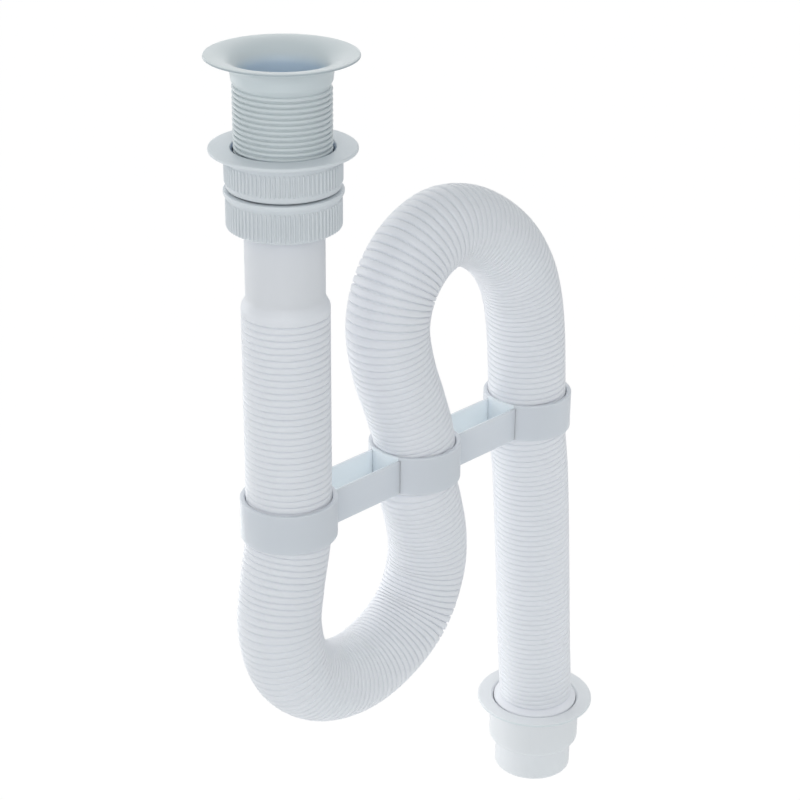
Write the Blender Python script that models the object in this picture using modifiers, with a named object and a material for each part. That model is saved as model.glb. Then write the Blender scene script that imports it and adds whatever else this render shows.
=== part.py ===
"""A plastic basin waste with a corrugated flexible trap, in metres, +Z up.

The waste's rim lies in the plane z = 0, with the waste's axis on Z. Under it hang the backnut,
the union nut with its sealing ring, and the hose, which runs down, round the trap's bend, up,
over the crown and down again to the outlet. A clip of three joined rings holds the hose's three
legs side by side, in the plane y = 0, and the outlet fitting turns on the hose's last cuff.
"""

import math

import bmesh
import bpy
from mathutils import Vector

# Running gap between two pieces that touch or slide on each other
GAP = 0.0003
# Sides of a turned piece
TURN_STEPS = 36

# Waste: flared rim, short neck and threaded tube, moulded in one
RIM_RADIUS = 0.0325
RIM_THICKNESS = 0.0012
RIM_EDGE = 0.0006
FLARE_DEPTH = 0.0080
FLARE_WALL = 0.0015
NECK_HEIGHT = 0.0110
NECK_STEP = 0.00055
THREAD_RADIUS = 0.02095
THREAD_LENGTH = 0.0559
THREAD_CHAMFER = 0.0008
THREAD_WALL = 0.00345
WASTE_BORE = THREAD_RADIUS - THREAD_WALL
WASTE_END = -(NECK_HEIGHT + THREAD_LENGTH)

# Sealing ring between the waste's end and the hose's collar
NUT_CLEARANCE = 0.0004
NUT_BORE = THREAD_RADIUS + NUT_CLEARANCE
SEAL_THICKNESS = 0.0028
SEAL_CLEARANCE = 0.0005
SEAL_SETBACK = 0.0002
SEAL_TOP = WASTE_END - GAP
SEAL_BOTTOM = SEAL_TOP - SEAL_THICKNESS

# Hose: collar, smooth cuff, conical shoulder, corrugations and the outlet cuff, moulded in one
HOSE_SIDES = 14
BORE_SIDES = 10
HOSE_BORE = 0.0166
CUFF_WALL = 0.00075
CUFF_RADIUS = HOSE_BORE + CUFF_WALL
CUFF_LENGTH = 0.0351
COLLAR_THICKNESS = 0.0020
COLLAR_CLEARANCE = 0.0007
COLLAR_STEP = 0.0001
COLLAR_TOP = SEAL_BOTTOM - GAP
SHOULDER_HEIGHT = 0.0053
RIDGE_ROOT_WALL = 0.0012
RIDGE_DEPTH = 0.0016
RIDGE_PITCH = 0.0070
HOSE_RADIUS = HOSE_BORE + RIDGE_ROOT_WALL + RIDGE_DEPTH
PLAIN_BAND = 0.0030
OUTLET_CUFF_STEP = 0.0028
OUTLET_CUFF_TAPER = 0.0014
OUTLET_CUFF_LENGTH = 0.0200
OUTLET_CUFF_RADIUS = HOSE_RADIUS + OUTLET_CUFF_STEP

# Union nut: flared lip, ribbed body and a ledge that lifts the hose's collar
UNION_LEDGE = 0.0022
UNION_HEIGHT = 0.0173
UNION_CUFF_CLEARANCE = 0.0006
UNION_WALL = 0.00275
UNION_CORNER = 0.0012
UNION_LIP_WIDTH = 0.0015
UNION_LIP_HEIGHT = 0.0016
UNION_LIP_TAPER = 0.0018
UNION_MOUTH = 0.0012
UNION_BODY_RADIUS = NUT_BORE + UNION_WALL
UNION_BOTTOM = COLLAR_TOP - COLLAR_THICKNESS - GAP - UNION_LEDGE
UNION_TOP = UNION_BOTTOM + UNION_HEIGHT

# Backnut: flat flange on a ribbed skirt, just above the union nut
NUT_SPACING = 0.0004
BACKNUT_HEIGHT = 0.0179
BACKNUT_FLANGE_WIDTH = 0.01015
BACKNUT_FLANGE_THICKNESS = 0.0015
BACKNUT_FLANGE_FILLET = 0.0010
BACKNUT_WALL = 0.00305
BACKNUT_CORNER = 0.0010
BACKNUT_CHAMFER = 0.0009
BACKNUT_FLANGE_RADIUS = NUT_BORE + BACKNUT_FLANGE_WIDTH
BACKNUT_SKIRT_RADIUS = NUT_BORE + BACKNUT_WALL
BACKNUT_BOTTOM = UNION_TOP + NUT_SPACING
BACKNUT_TOP = BACKNUT_BOTTOM + BACKNUT_HEIGHT

# Grip ribs of both nuts, with the plain bands above and below them
RIB_COUNT = 76
RIB_HEIGHT = 0.0005
RIB_ROOT = 0.0001
BACKNUT_PLAIN_TOP = 0.0040
BACKNUT_PLAIN_BOTTOM = 0.0026
UNION_PLAIN_TOP = 0.0002
UNION_PLAIN_BOTTOM = 0.0006

# Clip: three rings, each pair joined by two thin walls
LEG_PITCH = 0.08215
RING_CLEARANCE = 0.0011
RING_WALL = 0.0015
RING_HEIGHT = 0.0189
RING_TOP = -0.2023
RING_BOTTOM = RING_TOP - RING_HEIGHT
RING_BORE = HOSE_RADIUS + RING_CLEARANCE
RING_RADIUS = RING_BORE + RING_WALL
LINK_WIDTH = 0.0190
LINK_WALL = 0.0015
LINK_HEIGHT = 0.0170
LINK_LIFT = 0.0003

# The hose's bends: how far each reaches past the rings, and how far the last leg leans and drops
BEND_DEPTH = 0.0919
CROWN_HEIGHT = 0.1020
LAST_LEG_SWAY = 0.0158
LAST_LEG_DROP = 0.1684
LAST_STRAIGHT = 0.0060
RING_LEAN = 0.0004

# Outlet fitting: flange, 50 mm collar and 40 mm spigot, moulded in one
SOCKET_CLEARANCE = 0.0004
SOCKET_CHAMFER = 0.0005
OUTLET_WALL = 0.0015
OUTLET_FLOOR = 0.0044
OUTLET_CORNER = 0.0018
FLANGE_WIDTH = 0.0067
FLANGE_THICKNESS = 0.0016
SPIGOT_RADIUS = 0.0204
SPIGOT_WALL = 0.0022
SPIGOT_HEIGHT = 0.0172
SPIGOT_CORNER = 0.0007
OUTLET_X = 2 * LEG_PITCH + LAST_LEG_SWAY
FLANGE_TOP = RING_BOTTOM - LAST_LEG_DROP
SOCKET_RADIUS = OUTLET_CUFF_RADIUS + SOCKET_CLEARANCE
OUTLET_COLLAR_RADIUS = SOCKET_RADIUS + OUTLET_WALL
FLANGE_RADIUS = OUTLET_COLLAR_RADIUS + FLANGE_WIDTH

PART_COLLECTION = "flexible_sink_trap"


def clear_scene():
    for old in list(bpy.data.objects):
        bpy.data.objects.remove(old, do_unlink=True)


def collection(name):
    made = bpy.data.collections.new(name)
    bpy.context.scene.collection.children.link(made)
    return made


def plastic(name, colour, roughness):
    made = bpy.data.materials.new(name)
    made.use_nodes = True
    shader = made.node_tree.nodes["Principled BSDF"]
    shader.inputs["Base Color"].default_value = (*colour, 1.0)
    shader.inputs["Roughness"].default_value = roughness
    return made


def quarter(centre, across, up, start, end, steps):
    """Points of an elliptic arc in the (radius, z) plane; its angles are in degrees."""
    points = []
    for step in range(steps + 1):
        angle = math.radians(start + (end - start) * step / steps)
        points.append((centre[0] + across * math.cos(angle), centre[1] + up * math.sin(angle)))
    return points


def turned(name, profile, where, material, at_x=0.0):
    """A ring turned from a closed (radius, z) profile, which runs down its outer side."""
    mesh = bpy.data.meshes.new(name)
    shape = bmesh.new()
    corners = [shape.verts.new((radius, 0.0, z)) for radius, z in profile]
    for corner, following in zip(corners, corners[1:] + corners[:1]):
        shape.edges.new((corner, following))
    shape.to_mesh(mesh)
    shape.free()
    made = bpy.data.objects.new(name, mesh)
    made.location.x = at_x
    where.objects.link(made)
    made.data.materials.append(material)
    screw = made.modifiers.new("turn", "SCREW")
    screw.steps = TURN_STEPS
    screw.render_steps = TURN_STEPS
    screw.use_merge_vertices = True
    screw.merge_threshold = 1e-6
    screw.use_smooth_shade = True
    return made


def as_mesh(made, where):
    """The object as its modifiers leave it, as a plain mesh under the same name."""
    bpy.context.view_layer.update()
    graph = bpy.context.evaluated_depsgraph_get()
    mesh = bpy.data.meshes.new_from_object(made.evaluated_get(graph))
    shape = bmesh.new()
    shape.from_mesh(mesh)
    bmesh.ops.remove_doubles(shape, verts=shape.verts, dist=1e-7)
    shape.to_mesh(mesh)
    shape.free()
    name = made.name
    placed = made.matrix_world.copy()
    bpy.data.objects.remove(made, do_unlink=True)
    solid = bpy.data.objects.new(name, mesh)
    solid.matrix_world = placed
    where.objects.link(solid)
    return solid


def boolean(target, other, operation):
    step = target.modifiers.new(f"{operation.lower()} {other.name}", "BOOLEAN")
    step.operation = operation
    step.object = other
    other.hide_render = True
    other.display_type = "WIRE"


def rib_band(name, base_radius, top, bottom, where):
    """A band of grip ribs: a toothed outline with one crest for each rib, extruded."""
    crest = base_radius + RIB_HEIGHT
    root = base_radius + RIB_ROOT
    outline = bpy.data.curves.new(name, "CURVE")
    outline.dimensions = "2D"
    outline.fill_mode = "BOTH"
    outline.extrude = (top - bottom) / 2
    edge = outline.splines.new("POLY")
    edge.use_cyclic_u = True
    edge.points.add(2 * RIB_COUNT - 1)
    for index, point in enumerate(edge.points):
        angle = math.pi * index / RIB_COUNT
        radius = crest if index % 2 == 0 else root
        point.co = (radius * math.cos(angle), radius * math.sin(angle), 0.0, 1.0)
    hole = outline.splines.new("POLY")
    hole.use_cyclic_u = True
    hole.points.add(TURN_STEPS - 1)
    inner = (base_radius + NUT_BORE) / 2
    for index, point in enumerate(hole.points):
        angle = 2 * math.pi * index / TURN_STEPS
        point.co = (inner * math.cos(angle), inner * math.sin(angle), 0.0, 1.0)
    band = bpy.data.objects.new(name, outline)
    band.location.z = (top + bottom) / 2
    where.objects.link(band)
    return as_mesh(band, where)


def make_waste(parts, material):
    """The flared waste: its rim, wall and threaded tube at the thread's full radius."""
    neck_radius = THREAD_RADIUS + NECK_STEP
    mouth = RIM_RADIUS - RIM_EDGE
    profile = [(RIM_RADIUS, -RIM_THICKNESS / 2)]
    profile += quarter(
        (RIM_RADIUS, -FLARE_DEPTH),
        RIM_RADIUS - neck_radius,
        FLARE_DEPTH - RIM_THICKNESS,
        95, 180, 5,
    )
    profile += [
        (neck_radius, -NECK_HEIGHT),
        (THREAD_RADIUS, -NECK_HEIGHT - NECK_STEP),
        (THREAD_RADIUS, WASTE_END + THREAD_CHAMFER),
        (THREAD_RADIUS - THREAD_CHAMFER, WASTE_END),
        (WASTE_BORE, WASTE_END),
    ]
    profile += quarter(
        (mouth, -FLARE_DEPTH - FLARE_WALL),
        mouth - WASTE_BORE,
        FLARE_DEPTH + FLARE_WALL,
        180, 90, 5,
    )
    return turned("waste_outlet", profile, parts, material)


def make_backnut(parts, cutters, material):
    flange_low = BACKNUT_TOP - BACKNUT_FLANGE_THICKNESS
    edge = BACKNUT_FLANGE_THICKNESS / 3
    profile = [
        (BACKNUT_FLANGE_RADIUS - edge, BACKNUT_TOP),
        (BACKNUT_FLANGE_RADIUS, BACKNUT_TOP - edge),
        (BACKNUT_FLANGE_RADIUS, flange_low + edge),
        (BACKNUT_FLANGE_RADIUS - edge, flange_low),
        (BACKNUT_SKIRT_RADIUS + BACKNUT_FLANGE_FILLET, flange_low),
        (BACKNUT_SKIRT_RADIUS, flange_low - BACKNUT_FLANGE_FILLET),
        (BACKNUT_SKIRT_RADIUS, BACKNUT_BOTTOM + BACKNUT_CORNER),
        (BACKNUT_SKIRT_RADIUS - BACKNUT_CORNER * 0.3, BACKNUT_BOTTOM + BACKNUT_CORNER * 0.3),
        (BACKNUT_SKIRT_RADIUS - BACKNUT_CORNER, BACKNUT_BOTTOM),
        (NUT_BORE, BACKNUT_BOTTOM),
        (NUT_BORE, BACKNUT_TOP - BACKNUT_CHAMFER),
        (NUT_BORE + BACKNUT_CHAMFER, BACKNUT_TOP),
    ]
    nut = turned("backnut", profile, parts, material)
    ribs = rib_band(
        "backnut_ribs",
        BACKNUT_SKIRT_RADIUS,
        flange_low - BACKNUT_PLAIN_TOP,
        BACKNUT_BOTTOM + BACKNUT_PLAIN_BOTTOM,
        cutters,
    )
    boolean(nut, ribs, "UNION")
    return nut


def make_union_nut(parts, cutters, material):
    lip_radius = UNION_BODY_RADIUS + UNION_LIP_WIDTH
    lip_low = UNION_TOP - UNION_LIP_HEIGHT
    lip_edge = UNION_LIP_HEIGHT / 4
    body_top = lip_low - UNION_LIP_TAPER
    cuff_hole = CUFF_RADIUS + UNION_CUFF_CLEARANCE
    profile = [
        (lip_radius, UNION_TOP),
        (lip_radius, lip_low + lip_edge),
        (lip_radius - lip_edge, lip_low),
        (UNION_BODY_RADIUS, body_top),
        (UNION_BODY_RADIUS, UNION_BOTTOM + UNION_CORNER),
        (UNION_BODY_RADIUS - UNION_CORNER * 0.3, UNION_BOTTOM + UNION_CORNER * 0.3),
        (UNION_BODY_RADIUS - UNION_CORNER, UNION_BOTTOM),
        (cuff_hole, UNION_BOTTOM),
        (cuff_hole, UNION_BOTTOM + UNION_LEDGE),
        (NUT_BORE, UNION_BOTTOM + UNION_LEDGE),
        (NUT_BORE, UNION_TOP - UNION_MOUTH),
        (NUT_BORE + UNION_MOUTH, UNION_TOP),
    ]
    nut = turned("union_nut", profile, parts, material)
    ribs = rib_band(
        "union_ribs",
        UNION_BODY_RADIUS,
        body_top - UNION_PLAIN_TOP,
        UNION_BOTTOM + UNION_PLAIN_BOTTOM,
        cutters,
    )
    boolean(nut, ribs, "UNION")
    return nut


def make_seal(parts, material):
    outer = NUT_BORE - SEAL_CLEARANCE
    inner = WASTE_BORE + SEAL_SETBACK
    profile = [(outer, SEAL_TOP), (outer, SEAL_BOTTOM), (inner, SEAL_BOTTOM), (inner, SEAL_TOP)]
    return turned("union_seal", profile, parts, material)


# Hand-chosen places on the trap's bend, from the first leg to the second: each is a share of the
# legs' pitch across, and a share of the bend's depth down from the rings.
BEND_SHARES = [
    (-0.061, 0.270),
    (-0.085, 0.509),
    (0.000, 0.765),
    (0.213, 0.939),
    (0.497, 1.000),
    (0.779, 0.941),
    (0.992, 0.803),
    (1.105, 0.591),
    (1.117, 0.395),
    (1.071, 0.205),
]

# Hand-chosen places on the crown, from the second leg to the third: shares of the legs' pitch
# across, and of the crown's height up from the rings.
CROWN_SHARES = [
    (-0.085, 0.199),
    (-0.182, 0.405),
    (-0.231, 0.611),
    (-0.187, 0.773),
    (-0.069, 0.904),
    (0.083, 0.979),
    (0.242, 1.000),
    (0.467, 0.949),
    (0.716, 0.802),
    (0.875, 0.611),
    (0.954, 0.375),
]

# The last leg's slight bow: shares of its sway across, and of its drop to the straight end.
LAST_LEG_SHARES = [(0.297, 0.177), (0.582, 0.491), (0.816, 0.793)]


def route_guides():
    """Places that the hose's centre line passes, as (x, z), from its collar to its outlet end."""
    middle, last = LEG_PITCH, 2 * LEG_PITCH
    straight_top = FLANGE_TOP + LAST_STRAIGHT
    shoulder_top = COLLAR_TOP - CUFF_LENGTH
    guides = [
        (0.0, COLLAR_TOP),
        (0.0, shoulder_top),
        (0.0, (shoulder_top + RING_TOP) / 2),
        (0.0, RING_TOP),
        (-RING_LEAN, RING_BOTTOM),
    ]
    for across, down in BEND_SHARES:
        guides.append((across * LEG_PITCH, RING_BOTTOM - down * BEND_DEPTH))
    guides.append((middle + RING_LEAN, RING_BOTTOM))
    guides.append((middle - RING_LEAN, RING_TOP))
    for across, up in CROWN_SHARES:
        guides.append((middle + across * LEG_PITCH, RING_TOP + up * CROWN_HEIGHT))
    guides.append((last - RING_LEAN, RING_TOP))
    guides.append((last + RING_LEAN, RING_BOTTOM))
    for across, down in LAST_LEG_SHARES:
        guides.append((last + across * LAST_LEG_SWAY, RING_BOTTOM + down * (straight_top - RING_BOTTOM)))
    guides.append((OUTLET_X, straight_top))
    guides.append((OUTLET_X, FLANGE_TOP - OUTLET_CUFF_LENGTH))
    return guides


def smooth_route(spacing=0.0004):
    """The hose's centre line: a smooth curve through its guides, as closely spaced points."""
    guides = [Vector((x, 0.0, z)) for x, z in route_guides()]
    line = []
    for index in range(len(guides) - 1):
        here, there = guides[index], guides[index + 1]
        before = guides[index - 1] if index > 0 else here - (there - here)
        after = guides[index + 2] if index + 2 < len(guides) else there + (there - here)
        span = (there - here).length
        leave = (there - before) * span / (span + (here - before).length)
        arrive = (after - here) * span / (span + (after - there).length)
        count = max(2, round(span / spacing))
        for step in range(count):
            t = step / count
            line.append(
                here * (2 * t**3 - 3 * t**2 + 1)
                + leave * (t**3 - 2 * t**2 + t)
                + there * (3 * t**2 - 2 * t**3)
                + arrive * (t**3 - t**2)
            )
    line.append(guides[-1])
    return line


class Route:
    """The centre line by its length, measured from the collar's top."""

    def __init__(self):
        self.line = smooth_route()
        self.run = [0.0]
        for here, there in zip(self.line, self.line[1:]):
            self.run.append(self.run[-1] + (there - here).length)
        self.length = self.run[-1]

    def at(self, distance):
        low, high = 0, len(self.run) - 1
        while high - low > 1:
            middle = (low + high) // 2
            if self.run[middle] <= distance:
                low = middle
            else:
                high = middle
        share = (distance - self.run[low]) / (self.run[high] - self.run[low])
        return self.line[low].lerp(self.line[high], share)


def tube(name, stations, sides, where):
    """A capped tube through (point, radius) stations."""
    path = bpy.data.curves.new(name, "CURVE")
    path.dimensions = "3D"
    path.bevel_depth = 1.0
    path.bevel_resolution = sides // 2 - 2
    path.use_fill_caps = True
    path.twist_mode = "MINIMUM"
    line = path.splines.new("POLY")
    line.points.add(len(stations) - 1)
    for point, (place, radius) in zip(line.points, stations):
        point.co = (*place, 1.0)
        point.radius = radius
    made = bpy.data.objects.new(name, path)
    where.objects.link(made)
    return as_mesh(made, where)


def hose_stations(route):
    """The hose's outside: its stations run down the cuff, over each ridge and into the outlet."""
    ridges_start = CUFF_LENGTH + SHOULDER_HEIGHT + PLAIN_BAND
    ridges_end = route.length - OUTLET_CUFF_LENGTH - OUTLET_CUFF_TAPER
    outside = [
        (0.0, NUT_BORE - COLLAR_CLEARANCE),
        (COLLAR_THICKNESS, NUT_BORE - COLLAR_CLEARANCE),
        (COLLAR_THICKNESS + COLLAR_STEP, CUFF_RADIUS),
        (CUFF_LENGTH, CUFF_RADIUS),
        (CUFF_LENGTH + SHOULDER_HEIGHT, HOSE_RADIUS),
        (ridges_start, HOSE_RADIUS),
    ]
    count = round((ridges_end - ridges_start) / RIDGE_PITCH)
    pitch = (ridges_end - ridges_start) / count
    for index in range(count):
        outside.append((ridges_start + (index + 0.5) * pitch, HOSE_RADIUS - RIDGE_DEPTH))
        outside.append((ridges_start + (index + 1) * pitch, HOSE_RADIUS))
    outside += [
        (route.length - OUTLET_CUFF_LENGTH, OUTLET_CUFF_RADIUS),
        (route.length, OUTLET_CUFF_RADIUS),
    ]
    return [(route.at(distance), radius) for distance, radius in outside]


def bore_stations(route):
    """The hose's smooth bore, with its stations closer together where the route bends."""
    longest_run = 0.040
    sharpest_turn = math.radians(13)
    step = 0.002
    heading = (route.at(step) - route.at(0.0)).normalized()
    stations = [route.at(0.0) - heading * 0.002]
    last_heading, last_distance = heading, 0.0
    distance = step
    while distance < route.length - step:
        heading = (route.at(distance + step) - route.at(distance)).normalized()
        turned_by = heading.angle(last_heading)
        if turned_by > sharpest_turn or distance - last_distance > longest_run:
            stations.append(route.at(distance))
            last_heading, last_distance = heading, distance
        distance += step
    stations.append(route.at(route.length) + heading * 0.002)
    return [(place, HOSE_BORE) for place in stations]


def make_hose(parts, cutters, material):
    route = Route()
    hose = tube("hose", hose_stations(route), HOSE_SIDES, parts)
    hose.data.materials.append(material)
    bore = tube("hose_bore", bore_stations(route), BORE_SIDES, cutters)
    boolean(hose, bore, "DIFFERENCE")
    return hose


def cylinder(name, radius, top, bottom, at_x, where):
    mesh = bpy.data.meshes.new(name)
    shape = bmesh.new()
    bmesh.ops.create_cone(
        shape, cap_ends=True, segments=TURN_STEPS, radius1=radius, radius2=radius, depth=top - bottom
    )
    shape.to_mesh(mesh)
    shape.free()
    made = bpy.data.objects.new(name, mesh)
    made.location = (at_x, 0.0, (top + bottom) / 2)
    where.objects.link(made)
    return made


def make_clip(parts, cutters, material):
    """Three rings and four thin link walls, joined, then bored for the hose's legs."""
    link_middle = RING_BOTTOM + LINK_LIFT + LINK_HEIGHT / 2
    clip = cylinder("clip", RING_RADIUS, RING_TOP, RING_BOTTOM, 0.0, parts)
    for leg in (1, 2):
        ring = cylinder(f"ring_{leg + 1}", RING_RADIUS, RING_TOP, RING_BOTTOM, leg * LEG_PITCH, cutters)
        boolean(clip, ring, "UNION")
    for side in (-1, 1):
        mesh = bpy.data.meshes.new("link_wall")
        shape = bmesh.new()
        bmesh.ops.create_cube(shape, size=1.0)
        bmesh.ops.scale(shape, vec=(2 * LEG_PITCH, LINK_WALL, LINK_HEIGHT), verts=shape.verts)
        shape.to_mesh(mesh)
        shape.free()
        wall = bpy.data.objects.new(f"link_wall_{'front' if side < 0 else 'back'}", mesh)
        wall.location = (LEG_PITCH, side * (LINK_WIDTH - LINK_WALL) / 2, link_middle)
        cutters.objects.link(wall)
        boolean(clip, wall, "UNION")
    for leg in range(3):
        bore = cylinder(
            f"leg_bore_{leg + 1}",
            RING_BORE,
            RING_TOP + RING_WALL,
            RING_BOTTOM - RING_WALL,
            leg * LEG_PITCH,
            cutters,
        )
        boolean(clip, bore, "DIFFERENCE")
    clip.data.materials.append(material)
    return clip


def make_outlet(parts, material):
    flange_low = FLANGE_TOP - FLANGE_THICKNESS
    socket_low = FLANGE_TOP - OUTLET_CUFF_LENGTH - GAP
    collar_low = socket_low - OUTLET_FLOOR
    spigot_low = collar_low - SPIGOT_HEIGHT
    spigot_bore = SPIGOT_RADIUS - SPIGOT_WALL
    edge = FLANGE_THICKNESS / 3
    profile = [
        (FLANGE_RADIUS - edge, FLANGE_TOP),
        (FLANGE_RADIUS, FLANGE_TOP - edge),
        (FLANGE_RADIUS, flange_low + edge),
        (FLANGE_RADIUS - edge, flange_low),
        (OUTLET_COLLAR_RADIUS, flange_low),
        (OUTLET_COLLAR_RADIUS, collar_low + OUTLET_CORNER),
        (OUTLET_COLLAR_RADIUS - OUTLET_CORNER * 0.3, collar_low + OUTLET_CORNER * 0.3),
        (OUTLET_COLLAR_RADIUS - OUTLET_CORNER, collar_low),
        (SPIGOT_RADIUS, collar_low),
        (SPIGOT_RADIUS, spigot_low + SPIGOT_CORNER),
        (SPIGOT_RADIUS - SPIGOT_CORNER, spigot_low),
        (spigot_bore, spigot_low),
        (spigot_bore, socket_low),
        (SOCKET_RADIUS, socket_low),
        (SOCKET_RADIUS, FLANGE_TOP - SOCKET_CHAMFER),
        (SOCKET_RADIUS + SOCKET_CHAMFER, FLANGE_TOP),
    ]
    return turned("outlet_fitting", profile, parts, material, at_x=OUTLET_X)


def main():
    clear_scene()
    parts = collection(PART_COLLECTION)
    cutters = collection("cutters")
    white = plastic("white plastic", (0.80, 0.82, 0.84), 0.38)
    soft_white = plastic("soft white plastic", (0.84, 0.86, 0.88), 0.45)
    rubber = plastic("grey rubber", (0.10, 0.10, 0.11), 0.70)
    make_waste(parts, white)
    make_backnut(parts, cutters, white)
    make_union_nut(parts, cutters, white)
    make_seal(parts, rubber)
    make_hose(parts, cutters, soft_white)
    make_clip(parts, cutters, white)
    make_outlet(parts, white)


main()
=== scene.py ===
# %% [markdown]
# # A flexible sink trap in white plastic
#
# The object is the waste under a washbasin. A flared waste with a long thread carries a ribbed
# backnut and a ribbed union nut. From the union nut hangs a corrugated hose, bent like an S to
# hold water as a trap, with a clip of three joined rings round its legs and a stepped outlet
# fitting on its end.
#
# Everything on it is white, so the render lives from form: thin ridges, rounded moulded edges,
# narrow dark gaps and soft light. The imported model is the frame. Each solid is shown by a finer
# piece of the same size, made here.

# %% Load the frame
import math

import bmesh
import bpy
from mathutils import Euler, Matrix, Vector


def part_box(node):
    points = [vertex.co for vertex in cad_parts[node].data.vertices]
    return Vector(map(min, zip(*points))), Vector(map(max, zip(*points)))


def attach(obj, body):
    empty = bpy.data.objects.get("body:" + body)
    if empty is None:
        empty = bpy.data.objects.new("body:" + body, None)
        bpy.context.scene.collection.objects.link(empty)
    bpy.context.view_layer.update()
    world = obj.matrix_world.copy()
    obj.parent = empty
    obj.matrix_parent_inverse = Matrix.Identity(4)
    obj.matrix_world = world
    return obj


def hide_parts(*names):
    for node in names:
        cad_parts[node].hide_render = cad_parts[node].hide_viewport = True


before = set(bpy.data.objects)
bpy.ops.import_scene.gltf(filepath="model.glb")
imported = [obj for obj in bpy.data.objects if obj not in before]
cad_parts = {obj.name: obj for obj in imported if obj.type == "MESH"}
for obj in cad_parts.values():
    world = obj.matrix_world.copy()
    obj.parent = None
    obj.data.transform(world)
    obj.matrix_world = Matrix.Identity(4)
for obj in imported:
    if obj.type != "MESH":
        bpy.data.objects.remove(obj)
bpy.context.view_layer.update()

# %% [markdown]
# ## Sizes
#
# A place that the frame already holds is read from its boxes, so the scene and the solids can't
# drift apart. The rest are real sizes in metres: the wall of a flare, the pitch of a thread, the
# depth of a ridge.

# %% Places taken from the frame
waste_low, waste_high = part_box("waste_outlet")
backnut_low, backnut_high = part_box("backnut")
union_low, union_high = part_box("union_nut")
hose_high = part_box("hose")[1]
clip_low, clip_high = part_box("clip")
outlet_low, outlet_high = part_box("outlet_fitting")

RIM_RADIUS = waste_high.x
WASTE_END = waste_low.z
RING_RADIUS = clip_high.y
LEG_PITCH = (clip_high.x - clip_low.x) / 2 - RING_RADIUS
RING_TOP, RING_BOTTOM = clip_high.z, clip_low.z
COLLAR_TOP = hose_high.z
OUTLET_X = (outlet_high.x + outlet_low.x) / 2
FLANGE_TOP = outlet_high.z
FLANGE_RADIUS = outlet_high.y
OUTLET_END = outlet_low.z
print("leg pitch", round(LEG_PITCH, 5), "outlet at", round(OUTLET_X, 5))

# %% [markdown]
# ## Helpers for building node trees
#
# Geometry Nodes and shader nodes are built the same way: add a node, set its options, then give
# each input a plain value or the socket that feeds it. One helper does that for both, so each
# tree below reads like a list of steps.


# %% One helper for nodes of every kind
def put(tree, kind, feeds=None, **options):
    """Adds a node. feeds maps an input's name or number to a value or to the socket before it."""
    node = tree.nodes.new(kind)
    for option, value in options.items():
        setattr(node, option, value)
    for key, value in (feeds or {}).items():
        socket = node.inputs[key]
        if isinstance(value, bpy.types.NodeSocket):
            tree.links.new(value, socket)
        else:
            socket.default_value = value
    return node


def calc(tree, operation, first, second=0.0, third=0.0):
    """One step of arithmetic on sockets or plain numbers."""
    node = put(tree, "ShaderNodeMath", {0: first, 1: second}, operation=operation)
    if isinstance(third, bpy.types.NodeSocket):
        tree.links.new(third, node.inputs[2])
    else:
        node.inputs[2].default_value = third
    return node.outputs[0]


def blend(tree, share, first, second):
    """Mixes two colours, each a socket or four numbers, and gives the mixed colour's socket."""
    node = put(tree, "ShaderNodeMix", {"Factor": share}, data_type="RGBA")
    # This node has a pair of sockets for each kind of value, so the colours' pair is found by kind
    pair = [socket for socket in node.inputs if socket.type == "RGBA"]
    for socket, colour in zip(pair, (first, second)):
        if isinstance(colour, bpy.types.NodeSocket):
            tree.links.new(colour, socket)
        else:
            socket.default_value = colour
    return [socket for socket in node.outputs if socket.type == "RGBA"][0]


def shape_tree(name, sizes):
    """A Geometry Nodes tree with a mesh or curve going in, and one named input for each size."""
    tree = bpy.data.node_groups.new(name, "GeometryNodeTree")
    tree.interface.new_socket("Geometry", in_out="INPUT", socket_type="NodeSocketGeometry")
    for size, default in sizes.items():
        whole = isinstance(default, int)
        kind = "NodeSocketInt" if whole else "NodeSocketFloat"
        tree.interface.new_socket(size, in_out="INPUT", socket_type=kind).default_value = default
    tree.interface.new_socket("Material", in_out="INPUT", socket_type="NodeSocketMaterial")
    tree.interface.new_socket("Geometry", in_out="OUTPUT", socket_type="NodeSocketGeometry")
    return tree, tree.nodes.new("NodeGroupInput").outputs


def end_tree(tree, geometry, material):
    """Every tree ends alike: instances made real, smooth faces, and the piece's material."""
    real = put(tree, "GeometryNodeRealizeInstances", {0: geometry}).outputs[0]
    smooth = put(tree, "GeometryNodeSetShadeSmooth", {0: real, "Shade Smooth": True}).outputs[0]
    done = put(
        tree, "GeometryNodeSetMaterial", {"Geometry": smooth, "Material": material}
    ).outputs[0]
    put(tree, "NodeGroupOutput", {0: done})


def grow(start, tree, sizes, material, name):
    """Runs a tree on an object and keeps the result as a plain mesh; the start is removed."""
    step = start.modifiers.new(tree.name, "NODES")
    step.node_group = tree
    for item in tree.interface.items_tree:
        if item.in_out == "INPUT" and item.name in sizes:
            step[item.identifier] = sizes[item.name]
        elif item.in_out == "INPUT" and item.name == "Material":
            step[item.identifier] = material
    bpy.context.view_layer.update()
    graph = bpy.context.evaluated_depsgraph_get()
    mesh = bpy.data.meshes.new_from_object(start.evaluated_get(graph), depsgraph=graph)
    bpy.data.objects.remove(start, do_unlink=True)
    mesh.name = name
    mesh.materials.clear()
    mesh.materials.append(material)
    mesh.polygons.foreach_set("material_index", [0] * len(mesh.polygons))
    piece = bpy.data.objects.new(name, mesh)
    bpy.context.scene.collection.objects.link(piece)
    print(name, "has", sum(len(face.vertices) - 2 for face in mesh.polygons), "triangles")
    return piece


# %% [markdown]
# ## Moulded plastic
#
# White polypropylene isn't one flat white. Its colour drifts a little where the melt flowed, the
# skin has a fine matt grain from the mould, and its gloss changes with that grain. All the
# plastics here share this, so it is one shader group with a few inputs, and each material gives
# it its own colour and strength. The group works in Object coordinates, in metres, so the grain
# keeps its real scale on every piece.


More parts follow.
